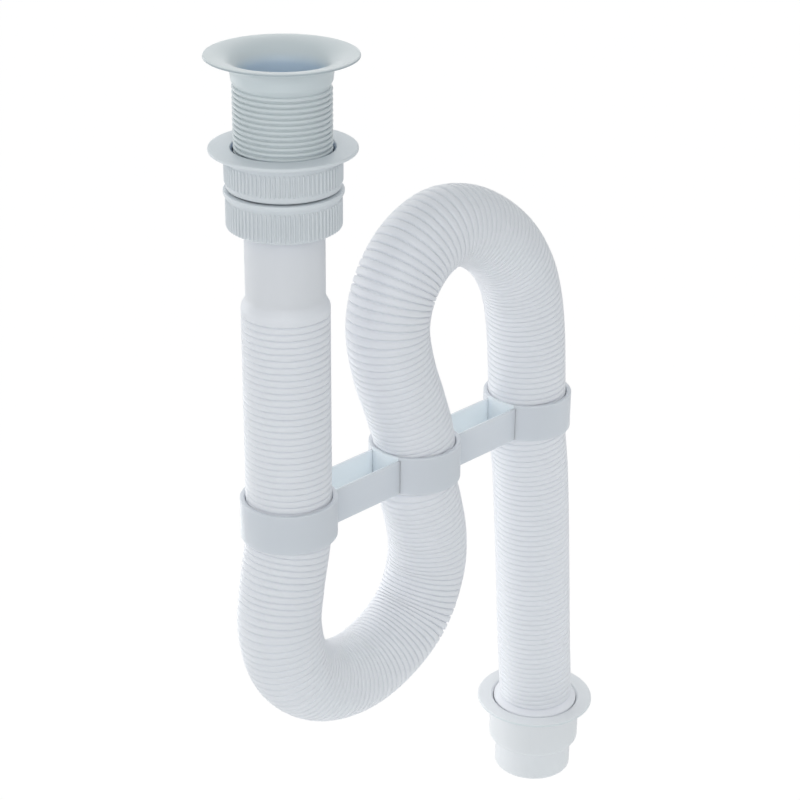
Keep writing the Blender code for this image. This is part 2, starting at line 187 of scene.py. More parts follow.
# %% The shared skin of moulded plastic
def moulded_skin():
    tree = bpy.data.node_groups.new("moulded skin", "ShaderNodeTree")
    for socket, kind, default in (
        ("Colour", "NodeSocketColor", (0.8, 0.8, 0.8, 1.0)),
        ("Drift Colour", "NodeSocketColor", (0.7, 0.75, 0.8, 1.0)),
        ("Drift", "NodeSocketFloat", 0.3),
        ("Drift Scale", "NodeSocketFloat", 40.0),
        ("Grain Scale", "NodeSocketFloat", 1800.0),
        ("Smoothest", "NodeSocketFloat", 0.3),
        ("Roughest", "NodeSocketFloat", 0.5),
    ):
        tree.interface.new_socket(socket, in_out="INPUT", socket_type=kind).default_value = default
    for socket, kind in (
        ("Colour", "NodeSocketColor"),
        ("Roughness", "NodeSocketFloat"),
        ("Height", "NodeSocketFloat"),
    ):
        tree.interface.new_socket(socket, in_out="OUTPUT", socket_type=kind)
    given = tree.nodes.new("NodeGroupInput").outputs
    place = tree.nodes.new("ShaderNodeTexCoord").outputs["Object"]
    flow = put(
        tree,
        "ShaderNodeTexNoise",
        {"Vector": place, "Scale": given["Drift Scale"], "Detail": 3.0, "Roughness": 0.55},
    ).outputs["Fac"]
    grain = put(
        tree,
        "ShaderNodeTexNoise",
        {"Vector": place, "Scale": given["Grain Scale"], "Detail": 2.0, "Roughness": 0.6},
    ).outputs["Fac"]
    share = put(
        tree,
        "ShaderNodeMapRange",
        {"Value": flow, "From Min": 0.35, "From Max": 0.70, "To Max": given["Drift"]},
    ).outputs["Result"]
    mixed = blend(tree, share, given["Colour"], given["Drift Colour"])
    matt = put(
        tree,
        "ShaderNodeMapRange",
        {
            "Value": grain,
            "From Min": 0.3,
            "From Max": 0.7,
            "To Min": given["Smoothest"],
            "To Max": given["Roughest"],
        },
    ).outputs["Result"]
    put(tree, "NodeGroupOutput", {"Colour": mixed, "Roughness": matt, "Height": grain})
    return tree


MOULDED_SKIN = moulded_skin()
print("skin group inputs", [item.name for item in MOULDED_SKIN.interface.items_tree])


# %% A plastic made from the skin
GRAIN_DEPTH = 0.00001
SOAK_DEPTH = 0.003


def plastic(name, colour, drift_colour, matt, drift=0.5, soft=0.25):
    """matt is the least and the most roughness; soft is how much light soaks into the wall."""
    made = bpy.data.materials.new(name)
    made.use_nodes = True
    tree = made.node_tree
    shader = tree.nodes["Principled BSDF"]
    skin = put(
        tree,
        "ShaderNodeGroup",
        {
            "Colour": (*colour, 1.0),
            "Drift Colour": (*drift_colour, 1.0),
            "Drift": drift,
            "Smoothest": matt[0],
            "Roughest": matt[1],
        },
        node_tree=MOULDED_SKIN,
    )
    height = skin.outputs["Height"]
    bump = put(
        tree, "ShaderNodeBump", {"Height": height, "Distance": GRAIN_DEPTH, "Strength": 0.5}
    )
    tree.links.new(skin.outputs["Colour"], shader.inputs["Base Color"])
    tree.links.new(skin.outputs["Roughness"], shader.inputs["Roughness"])
    tree.links.new(bump.outputs["Normal"], shader.inputs["Normal"])
    shader.inputs["IOR"].default_value = 1.49
    shader.inputs["Specular IOR Level"].default_value = 0.4
    shader.inputs["Subsurface Weight"].default_value = soft
    shader.inputs["Subsurface Radius"].default_value = (1.0, 1.0, 1.0)
    shader.inputs["Subsurface Scale"].default_value = SOAK_DEPTH
    return made


WASTE_WHITE = plastic("waste plastic", (0.69, 0.74, 0.76), (0.67, 0.73, 0.74), (0.30, 0.45))
NUT_WHITE = plastic("nut plastic", (0.75, 0.78, 0.81), (0.72, 0.76, 0.79), (0.38, 0.55))
OUTLET_WHITE = plastic("outlet plastic", (0.82, 0.83, 0.85), (0.80, 0.82, 0.84), (0.35, 0.50))
CLIP_WHITE = plastic(
    "clip plastic", (0.72, 0.742, 0.785), (0.70, 0.73, 0.775), (0.35, 0.50), soft=0.5
)
print("whites", [made.name for made in bpy.data.materials])

# %% [markdown]
# Some places on a white part get painted light and shade over the piece's material: painted
# shade in the throat of the waste, on the edges of a rim and a flange and at the top of a nut's
# bore, and painted light on the faces between two thin walls. Each is painted by where a point
# lies on the piece, in Object coordinates, so that it stays there from any side.


# %% Painting light and shade over part of a material
def paint_over(made, where, colour):
    """where(tree, x, y, z) gives the paint's share at a point of the piece, from 0 to 1."""
    tree = made.node_tree
    shader = tree.nodes["Principled BSDF"]
    plain = shader.inputs["Base Color"].links[0].from_socket
    place = tree.nodes.new("ShaderNodeTexCoord").outputs["Object"]
    x, y, z = put(tree, "ShaderNodeSeparateXYZ", {0: place}).outputs
    painted = blend(tree, where(tree, x, y, z), plain, (*colour, 1.0))
    tree.links.new(painted, shader.inputs["Base Color"])


def fade(tree, value, full, none):
    """1 from full on, 0 from none on, and a straight change between the two."""
    limits = {"Value": value, "From Min": none, "From Max": full}
    return put(tree, "ShaderNodeMapRange", limits).outputs["Result"]


def paint_round_shade(made, radii, heights, colour, axis_x=0.0):
    """Paints shade on a round piece; each pair says where it is full and where it is gone."""

    def where(tree, x, y, z):
        from_axis = calc(tree, "SUBTRACT", x, axis_x)
        across = put(tree, "ShaderNodeCombineXYZ", {"X": from_axis, "Y": y}).outputs[0]
        away = put(tree, "ShaderNodeVectorMath", {0: across}, operation="LENGTH").outputs["Value"]
        return calc(tree, "MULTIPLY", fade(tree, away, *radii), fade(tree, z, *heights))

    paint_over(made, where, colour)


def paint_edge_shade(made, radius, top, colour, axis_x=0.0):
    """Paints shade on the outer edge of a rim or a flange, from just below its top face."""
    radii = (radius - 0.0002, radius - 0.0006)
    heights = (top - 0.0004, top - 0.0001)
    paint_round_shade(made, radii, heights, colour, axis_x)


# %% [markdown]
# The hose is blown from the same plastic, but its wall is thin, and thinnest on the ridges, so
# light passes into them and they look paler than the grooves. That is painted shade: the grooves
# get a darker white than the ridges. The hose's mesh carries an attribute named crest, 1 on a
# ridge and 0 in a groove, and the material mixes the two whites by it.


# %% The hose's plastic
GROOVE_PAINTED_SHADE = (0.83, 0.845, 0.89, 1.0)


def hose_plastic():
    made = plastic(
        "hose plastic", (0.865, 0.87, 0.91), (0.85, 0.86, 0.90), (0.36, 0.52), soft=0.4
    )
    tree = made.node_tree
    base = tree.nodes["Principled BSDF"].inputs["Base Color"]
    crest_white = base.links[0].from_socket
    crest = put(tree, "ShaderNodeAttribute", attribute_name="crest").outputs["Fac"]
    # Painted shade: the grooves take the darker white, and the ridges keep the skin's colour
    tree.links.new(blend(tree, crest, GROOVE_PAINTED_SHADE, crest_white), base)
    return made


HOSE_WHITE = hose_plastic()


# %% Rubber for the seal inside the union nut
def rubber():
    made = plastic(
        "seal rubber", (0.10, 0.10, 0.11), (0.13, 0.13, 0.14), (0.60, 0.80), drift=0.6, soft=0.0
    )
    made.node_tree.nodes["Principled BSDF"].inputs["Specular IOR Level"].default_value = 0.3
    return made


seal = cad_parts["union_seal"]
seal.data.materials.clear()
seal.data.materials.append(rubber())

# %% [markdown]
# ## Turned pieces
#
# The waste, both nuts and the outlet are round. A Screw modifier or the Spin tool could turn an
# outline into each of them. Here a short function lays the outline down once for every step
# round the axis and joins neighbours with faces, which leaves no seam to merge. Before that, each
# corner of the outline is eased with a small arc, because a mould never leaves a knife edge, and
# the light on a white part is drawn mostly by those arcs.


# %% Easing the corners of an outline
def eased(outline, arc_points=4):
    """A closed outline of (radius, height, ease): each corner becomes an arc that size across."""
    smooth = []
    count = len(outline)
    for index, (radius, height, ease) in enumerate(outline):
        here = Vector((radius, height))
        if ease == 0.0:
            smooth.append(here)
            continue
        before = Vector(outline[index - 1][:2]) - here
        after = Vector(outline[(index + 1) % count][:2]) - here
        reach = min(ease, before.length * 0.49, after.length * 0.49)
        start, end = here + before.normalized() * reach, here + after.normalized() * reach
        for step in range(arc_points + 1):
            share = step / arc_points
            smooth.append(start.lerp(here, share).lerp(here.lerp(end, share), share))
    return smooth


def arc(centre, across, up, start, end, steps=12):
    """Points on a quarter of an ellipse, as (radius, height, 0), its angles in degrees."""
    points = []
    for step in range(steps + 1):
        angle = math.radians(start + (end - start) * step / steps)
        radius = centre[0] + across * math.cos(angle)
        points.append((radius, centre[1] + up * math.sin(angle), 0.0))
    return points


# %% Turning an outline round an upright axis
ROUND_STEPS = 128
SHARP_ANGLE = math.radians(38)


def turned(name, outline, centre_x=0.0):
    shape = bmesh.new()
    points = eased(outline)
    rings = []
    for step in range(ROUND_STEPS):
        angle = 2 * math.pi * step / ROUND_STEPS
        across = Vector((math.cos(angle), math.sin(angle), 0.0))
        places = [across * p.x + Vector((centre_x, 0.0, p.y)) for p in points]
        rings.append([shape.verts.new(place) for place in places])
    for ring, following in zip(rings, rings[1:] + rings[:1]):
        for k in range(len(points)):
            after = (k + 1) % len(points)
            shape.faces.new((ring[k], following[k], following[after], ring[after]))
    bmesh.ops.recalc_face_normals(shape, faces=shape.faces)
    mesh = bpy.data.meshes.new(name)
    shape.to_mesh(mesh)
    shape.free()
    made = bpy.data.objects.new(name, mesh)
    bpy.context.scene.collection.objects.link(made)
    return made


# %% [markdown]
# ## The waste and its thread
#
# The waste opens like a trumpet at the top, runs in a short plain neck, and then carries a pipe
# thread with eleven turns to the inch down to its end. The tube is turned at the depth of the
# thread's grooves, and a short cone joins it to the neck. The thread itself follows a rule, a
# ridge laid round the tube on a helix, so Geometry Nodes make it: a Spiral curve, swept with a
# small round profile and sunk into the tube.

# %% The outline of the waste
RIM_THICKNESS = 0.0009
RIM_LAND = 0.0010
FLARE_DEPTH = 0.0080
NECK_RADIUS = 0.0215
NECK_BOTTOM = -0.0107
THREAD_RADIUS = 0.02095
THREAD_DEPTH = 0.00105
THREAD_RUN_OUT = 0.0022
THREAD_PITCH = 0.0254 / 11
WASTE_BORE = 0.0175
FLARE_WALL = 0.0013

waste_outline = [(RIM_RADIUS - 0.0003, 0.0, 0.0003), (RIM_RADIUS, -RIM_THICKNESS, 0.0004)]
waste_outline += arc(
    (RIM_RADIUS, -FLARE_DEPTH),
    RIM_RADIUS - NECK_RADIUS,
    FLARE_DEPTH - RIM_THICKNESS,
    start=96,
    end=180,
)
waste_outline += [
    (THREAD_RADIUS + 0.0002, NECK_BOTTOM, 0.0004),
    (THREAD_RADIUS - THREAD_DEPTH, NECK_BOTTOM - THREAD_RUN_OUT, 0.0006),
    (THREAD_RADIUS - THREAD_DEPTH, WASTE_END, 0.0004),
    (WASTE_BORE, WASTE_END, 0.0003),
]
waste_outline += arc(
    (RIM_RADIUS - RIM_LAND, -FLARE_DEPTH - FLARE_WALL),
    RIM_RADIUS - RIM_LAND - WASTE_BORE,
    FLARE_DEPTH + FLARE_WALL,
    start=180,
    end=90,
    steps=16,
)
print("waste outline", len(waste_outline), "corners")

# %% [markdown]
# Down in the throat the light has passed through the white wall more than once, and what comes
# back looks bluer. That is painted shade: the waste's material deepens towards a painted blue at
# the foot of the flare and inside the bore. The rim's outer edge is painted a darker grey, as
# painted shade.

# %% Painted shade in the throat and on the edge of the rim
THROAT_PAINTED_SHADE = (0.66, 0.77, 0.88)
THROAT_SHADE_HEIGHTS = (-0.0090, -0.0030)
THROAT_SHADE_FADE = 0.0023
RIM_EDGE_PAINTED_SHADE = (0.42, 0.47, 0.50)

paint_round_shade(WASTE_WHITE, (WASTE_BORE, WASTE_BORE + THROAT_SHADE_FADE), THROAT_SHADE_HEIGHTS, THROAT_PAINTED_SHADE)
# Painted shade along the rim's outer edge
paint_edge_shade(WASTE_WHITE, RIM_RADIUS, 0.0, RIM_EDGE_PAINTED_SHADE)


# %% A tree that winds a thread round a tube
def thread_tree():
    tree, given = shape_tree(
        "wound thread",
        {
            "Radius": 0.02,
            "Pitch": 0.0023,
            "Turns": 10.0,
            "Top": 0.0,
            "Ridge": 0.0006,
            "Steps a Turn": 72,
        },
    )
    height = calc(tree, "MULTIPLY", given["Pitch"], given["Turns"])
    helix = put(
        tree,
        "GeometryNodeCurveSpiral",
        {
            "Resolution": given["Steps a Turn"],
            "Rotations": given["Turns"],
            "Start Radius": given["Radius"],
            "End Radius": given["Radius"],
            "Height": height,
        },
    ).outputs[0]
    profile = put(
        tree, "GeometryNodeCurvePrimitiveCircle", {"Resolution": 10, "Radius": given["Ridge"]}
    ).outputs[0]
    ridge = put(
        tree,
        "GeometryNodeCurveToMesh",
        {"Curve": helix, "Profile Curve": profile, "Fill Caps": True},
    ).outputs[0]
    bottom = calc(tree, "SUBTRACT", given["Top"], height)
    low = put(tree, "ShaderNodeCombineXYZ", {"Z": bottom}).outputs[0]
    ridge = put(tree, "GeometryNodeTransform", {"Geometry": ridge, "Translation": low}).outputs[0]
    join = put(tree, "GeometryNodeJoinGeometry")
    tree.links.new(given["Geometry"], join.inputs[0])
    tree.links.new(ridge, join.inputs[0])
    end_tree(tree, join.outputs[0], given["Material"])
    return tree


# %% The waste
THREAD_RIDGE = 0.00088
THREAD_START = 0.0023
THREAD_CLEAR_END = 0.0012

thread_top = NECK_BOTTOM - THREAD_START
waste = grow(
    turned("waste start", waste_outline),
    thread_tree(),
    {
        "Radius": THREAD_RADIUS - THREAD_RIDGE,
        "Pitch": THREAD_PITCH,
        "Turns": (thread_top - WASTE_END - THREAD_CLEAR_END) / THREAD_PITCH,
        "Top": thread_top,
        "Ridge": THREAD_RIDGE,
    },
    WASTE_WHITE,
    "waste_with_thread",
)
waste.data.set_sharp_from_angle(angle=SHARP_ANGLE)
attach(waste, "waste")
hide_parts("waste_outlet")

# %% [markdown]
# ## The nuts and their grip ribs
#
# Both nuts have a band of fine upright ribs for the fingers, about two millimetres apart. The
# nut's body is turned, and the ribs are copies of one small rounded bar set round a circle:
# Mesh Circle gives the places, Instance on Points sets the bars, and each bar is turned to face
# outwards by its number.


# %% A tree that sets ribs round a nut
def rib_tree():
    tree, given = shape_tree(
        "grip ribs",
        {
            "Count": 76,
            "Radius": 0.0244,
            "Top": 0.0,
            "Bottom": -0.01,
            "Width": 0.0012,
            "Height": 0.0005,
        },
    )
    low = put(tree, "ShaderNodeCombineXYZ", {"Z": given["Bottom"]}).outputs[0]
    high = put(tree, "ShaderNodeCombineXYZ", {"Z": given["Top"]}).outputs[0]
    line = put(tree, "GeometryNodeCurvePrimitiveLine", {"Start": low, "End": high}).outputs[0]
    line = put(tree, "GeometryNodeResampleCurve", {"Curve": line, "Count": 14}).outputs[0]
    # A bar is full along its length and closes to a round end: 1 - |2f - 1|^12, and its root
    along = tree.nodes.new("GeometryNodeSplineParameter").outputs["Factor"]
    centred = calc(tree, "ABSOLUTE", calc(tree, "MULTIPLY_ADD", along, 2.0, -1.0))
    near_end = calc(tree, "POWER", centred, 12.0)
    closing = calc(tree, "SQRT", calc(tree, "SUBTRACT", 1.0001, near_end))
    profile = put(
        tree, "GeometryNodeCurvePrimitiveCircle", {"Resolution": 10, "Radius": 1.0}
    ).outputs[0]
    bar = put(
        tree,
        "GeometryNodeCurveToMesh",
        {"Curve": line, "Profile Curve": profile, "Scale": closing, "Fill Caps": True},
    ).outputs[0]
    girth = put(
        tree,
        "ShaderNodeCombineXYZ",
        {"X": given["Height"], "Y": calc(tree, "MULTIPLY", given["Width"], 0.5), "Z": 1.0},
    ).outputs[0]
    bar = put(tree, "GeometryNodeTransform", {"Geometry": bar, "Scale": girth}).outputs[0]
    places = put(
        tree, "GeometryNodeMeshCircle", {"Vertices": given["Count"], "Radius": given["Radius"]}
    ).outputs[0]
    number = tree.nodes.new("GeometryNodeInputIndex").outputs[0]
    turn = calc(tree, "DIVIDE", calc(tree, "MULTIPLY", number, 2 * math.pi), given["Count"])
    facing = put(tree, "ShaderNodeCombineXYZ", {"Z": turn}).outputs[0]
    ribs = put(
        tree,
        "GeometryNodeInstanceOnPoints",
        {"Points": places, "Instance": bar, "Rotation": facing},
    ).outputs[0]
    join = put(tree, "GeometryNodeJoinGeometry")
    tree.links.new(given["Geometry"], join.inputs[0])
    tree.links.new(ribs, join.inputs[0])
    end_tree(tree, join.outputs[0], given["Material"])
    return tree


GRIP_RIBS = rib_tree()
RIB_COUNT = 76
RIB_WIDTH = 0.00110
RIB_HEIGHT = 0.00070

# %% The backnut
NUT_CLEARANCE = 0.0004
NUT_BORE = THREAD_RADIUS + NUT_CLEARANCE
BACKNUT_FLANGE_RADIUS = backnut_high.y
NUT_GAP_EASE = 0.0003
BACKNUT_TOP, BACKNUT_BOTTOM = backnut_high.z, backnut_low.z + NUT_GAP_EASE
BACKNUT_FLANGE_LOW = BACKNUT_TOP - 0.0015
BACKNUT_SKIRT = NUT_BORE + 0.00305
BACKNUT_LEAD = 0.0012
PLAIN_OVER_RIBS = 0.0038
PLAIN_UNDER_RIBS = 0.0024

backnut_outline = [
    (BACKNUT_FLANGE_RADIUS, BACKNUT_TOP, 0.0007),
    (BACKNUT_FLANGE_RADIUS, BACKNUT_FLANGE_LOW, 0.0005),
    (BACKNUT_SKIRT, BACKNUT_FLANGE_LOW, 0.0010),
    (BACKNUT_SKIRT, BACKNUT_BOTTOM, 0.0012),
    (NUT_BORE, BACKNUT_BOTTOM, 0.0003),
    (NUT_BORE, BACKNUT_TOP - BACKNUT_LEAD, 0.0002),
    (NUT_BORE + 0.0011, BACKNUT_TOP, 0.0002),
]
# Painted shade at the top of the bore, where little light reaches and what comes back is bluer
NUT_BORE_PAINTED_SHADE = (0.36, 0.44, 0.56)
paint_round_shade(
    NUT_WHITE,
    (NUT_BORE + 0.0005, NUT_BORE + 0.0010),
    (BACKNUT_TOP - 0.0004, BACKNUT_TOP),
    NUT_BORE_PAINTED_SHADE,
)
backnut = grow(
    turned("backnut start", backnut_outline),
    GRIP_RIBS,
    {
        "Count": RIB_COUNT,
        "Radius": BACKNUT_SKIRT,
        "Top": BACKNUT_FLANGE_LOW - PLAIN_OVER_RIBS,
        "Bottom": BACKNUT_BOTTOM + PLAIN_UNDER_RIBS,
        "Width": RIB_WIDTH,
        "Height": RIB_HEIGHT,
    },
    NUT_WHITE,
    "ribbed_backnut",
)
backnut.data.set_sharp_from_angle(angle=SHARP_ANGLE)
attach(backnut, "backnut")
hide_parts("backnut")

# %% The union nut
UNION_TOP, UNION_BOTTOM = union_high.z, union_low.z
UNION_BODY = NUT_BORE + 0.00275
UNION_LIP = union_high.y
CUFF_RADIUS = 0.01735
CUFF_HOLE = CUFF_RADIUS + 0.0006
LIP_HEIGHT = 0.0016
LIP_SLOPE = 0.0018
LEDGE = 0.0022

union_outline = [
    (UNION_LIP, UNION_TOP, 0.0004),
    (UNION_LIP, UNION_TOP - LIP_HEIGHT, 0.0006),
    (UNION_BODY, UNION_TOP - LIP_HEIGHT - LIP_SLOPE, 0.0006),
    (UNION_BODY, UNION_BOTTOM, 0.0022),
    (CUFF_HOLE, UNION_BOTTOM, 0.0004),
    (CUFF_HOLE, UNION_BOTTOM + LEDGE, 0.0002),
    (NUT_BORE, UNION_BOTTOM + LEDGE, 0.0002),
    (NUT_BORE, UNION_TOP - 0.0012, 0.0002),
    (NUT_BORE + 0.0012, UNION_TOP, 0.0003),
]
union_nut = grow(
    turned("union start", union_outline),
    GRIP_RIBS,
    {
        "Count": RIB_COUNT,
        "Radius": UNION_BODY,
        "Top": UNION_TOP - LIP_HEIGHT - 0.0020,
        "Bottom": UNION_BOTTOM + 0.0006,
        "Width": RIB_WIDTH,
        "Height": RIB_HEIGHT,
    },
    NUT_WHITE,
    "ribbed_union_nut",
)
union_nut.data.set_sharp_from_angle(angle=SHARP_ANGLE)
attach(union_nut, "union_nut")
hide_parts("union_nut")

# %% [markdown]
# ## The hose's route
#
# The hose leaves the union nut straight down, turns up round the trap's bend, passes the clip
# again, goes over the crown and comes down to the outlet. The places it passes are listed, the
# same ones as in the solids, as shares of the distance between the legs and of how far each bend
# reaches. A smooth curve runs through them, in short steps.

# %% Places on the route
BEND_DEPTH = 0.0919
CROWN_HEIGHT = 0.1020
CUFF_LENGTH = 0.0351
RING_LEAN = 0.0004
LAST_STRAIGHT = 0.0060
OUTLET_CUFF_LENGTH = 0.0200
BEND_SHARES = [
    (-0.061, 0.270),
    (-0.085, 0.509),
    (0.000, 0.765),
    (0.213, 0.939),
    (0.497, 1.000),
    (0.779, 0.941),
    (0.992, 0.803),
    (1.105, 0.591),
    (1.117, 0.395),
    (1.071, 0.205),
]
CROWN_SHARES = [
    (-0.085, 0.199),
    (-0.182, 0.405),
    (-0.231, 0.611),
    (-0.187, 0.773),
    (-0.069, 0.904),
    (0.083, 0.979),
    (0.242, 1.000),
    (0.467, 0.949),
    (0.716, 0.802),
    (0.875, 0.611),
    (0.954, 0.375),
]
LAST_LEG_SHARES = [(0.297, 0.177), (0.582, 0.491), (0.816, 0.793)]


def route_guides():
    middle, last = LEG_PITCH, 2 * LEG_PITCH
    straight_top = FLANGE_TOP + LAST_STRAIGHT
    shoulder_top = COLLAR_TOP - CUFF_LENGTH
    guides = [
        (0.0, COLLAR_TOP),
        (0.0, shoulder_top),
        (0.0, (shoulder_top + RING_TOP) / 2),
        (0.0, RING_TOP),
        (-RING_LEAN, RING_BOTTOM),
    ]
    for across, down in BEND_SHARES:
        guides.append((across * LEG_PITCH, RING_BOTTOM - down * BEND_DEPTH))
    guides.append((middle + RING_LEAN, RING_BOTTOM))
    guides.append((middle - RING_LEAN, RING_TOP))
    for across, up in CROWN_SHARES:
        guides.append((middle + across * LEG_PITCH, RING_TOP + up * CROWN_HEIGHT))
    guides.append((last - RING_LEAN, RING_TOP))
    guides.append((last + RING_LEAN, RING_BOTTOM))
    for across, down in LAST_LEG_SHARES:
        sway = across * (OUTLET_X - last)
        guides.append((last + sway, RING_BOTTOM + down * (straight_top - RING_BOTTOM)))
    guides.append((OUTLET_X, straight_top))
    guides.append((OUTLET_X, FLANGE_TOP - OUTLET_CUFF_LENGTH))
    return [Vector((x, 0.0, z)) for x, z in guides]


# %% A smooth line through the places
def smooth_line(guides, spacing=0.0004):
    """Hermite curves between the guides, with headings taken from each guide's neighbours."""
    line = []
    for index in range(len(guides) - 1):
        here, there = guides[index], guides[index + 1]
        before = guides[index - 1] if index > 0 else here - (there - here)
        after = guides[index + 2] if index + 2 < len(guides) else there + (there - here)
        span = (there - here).length
        leave = (there - before) * span / (span + (here - before).length)
        arrive = (after - here) * span / (span + (after - there).length)
        count = max(2, round(span / spacing))
        for step in range(count):
            t = step / count
            line.append(
                here * (2 * t**3 - 3 * t**2 + 1)
                + leave * (t**3 - 2 * t**2 + t)
                + there * (3 * t**2 - 2 * t**3)
                + arrive * (t**3 - t**2)
            )
    line.append(guides[-1])
    return line


hose_line = smooth_line(route_guides())
hose_length = sum((b - a).length for a, b in zip(hose_line, hose_line[1:]))
print("hose", round(hose_length, 4), "m long,", len(hose_line), "points")

# %% [markdown]
# ## The corrugated wall
#
# The hose's wall follows a rule too: a tube whose radius rises and falls along its length. A
# curve carries the plain outline in the radius of its points: the collar, the smooth cuff, the
# cone of the shoulder, the hose itself and the wide cuff in the outlet. The tree takes the length
# along the spline, divides it by the pitch, and takes the rest of that division as the place
# within one ridge, which gives the groove's depth. The sweep across the bends then opens the
# ridges on the outside and closes them on the inside, as bending does to the real hose.

# %% The hose's plain outline, carried by a curve
HOSE_BORE = 0.0166
HOSE_RADIUS = 0.0194
COLLAR_RADIUS = NUT_BORE - 0.0007
COLLAR_THICKNESS = 0.0020
SHOULDER_HEIGHT = 0.0053
PLAIN_BAND = 0.0018
OUTLET_CUFF_RADIUS = 0.0222
OUTLET_CUFF_TAPER = 0.0014
RIDGE_PITCH = 0.00305
RIDGE_DEPTH = 0.00115
GROOVE_SHARE = 0.15
RIDGE_STATIONS = 7
BORE_STATIONS = 150
HOSE_SIDES = 44

ridges_start = CUFF_LENGTH + SHOULDER_HEIGHT + PLAIN_BAND
ridges_end = hose_length - OUTLET_CUFF_LENGTH - OUTLET_CUFF_TAPER


def soft_rise(low, high, value):
    """0 up to low, 1 from high on, and a smooth rise between them."""
    share = min(1.0, max(0.0, (value - low) / (high - low)))
    return share * share * (3 - 2 * share)


def plain_radius(run):
    """The hose's outside, without its ridges, at a distance along it."""
    # Both ends close down to the bore, as a flat ring
    if run <= 0.00001 or run >= hose_length - 0.00001:
        return HOSE_BORE
    if run < COLLAR_THICKNESS:
        return COLLAR_RADIUS
    if run < ridges_start:
        rise = soft_rise(CUFF_LENGTH, CUFF_LENGTH + SHOULDER_HEIGHT, run)
        return CUFF_RADIUS + (HOSE_RADIUS - CUFF_RADIUS) * rise
    if run < ridges_end:
        return HOSE_RADIUS
    rise = min(1.0, (run - ridges_end) / OUTLET_CUFF_TAPER)
    return HOSE_RADIUS + (OUTLET_CUFF_RADIUS - HOSE_RADIUS) * rise


def route_curve(name):
    data = bpy.data.curves.new(name, "CURVE")
    data.dimensions = "3D"
    data.twist_mode = "MINIMUM"
    spline = data.splines.new("POLY")
    spline.points.add(len(hose_line) - 1)
    run = 0.0
    before = hose_line[0]
    for point, place in zip(spline.points, hose_line):
        run += (place - before).length
        before = place
        point.co = (*place, 1.0)
        point.radius = plain_radius(run)
    made = bpy.data.objects.new(name, data)
    bpy.context.scene.collection.objects.link(made)
    return made


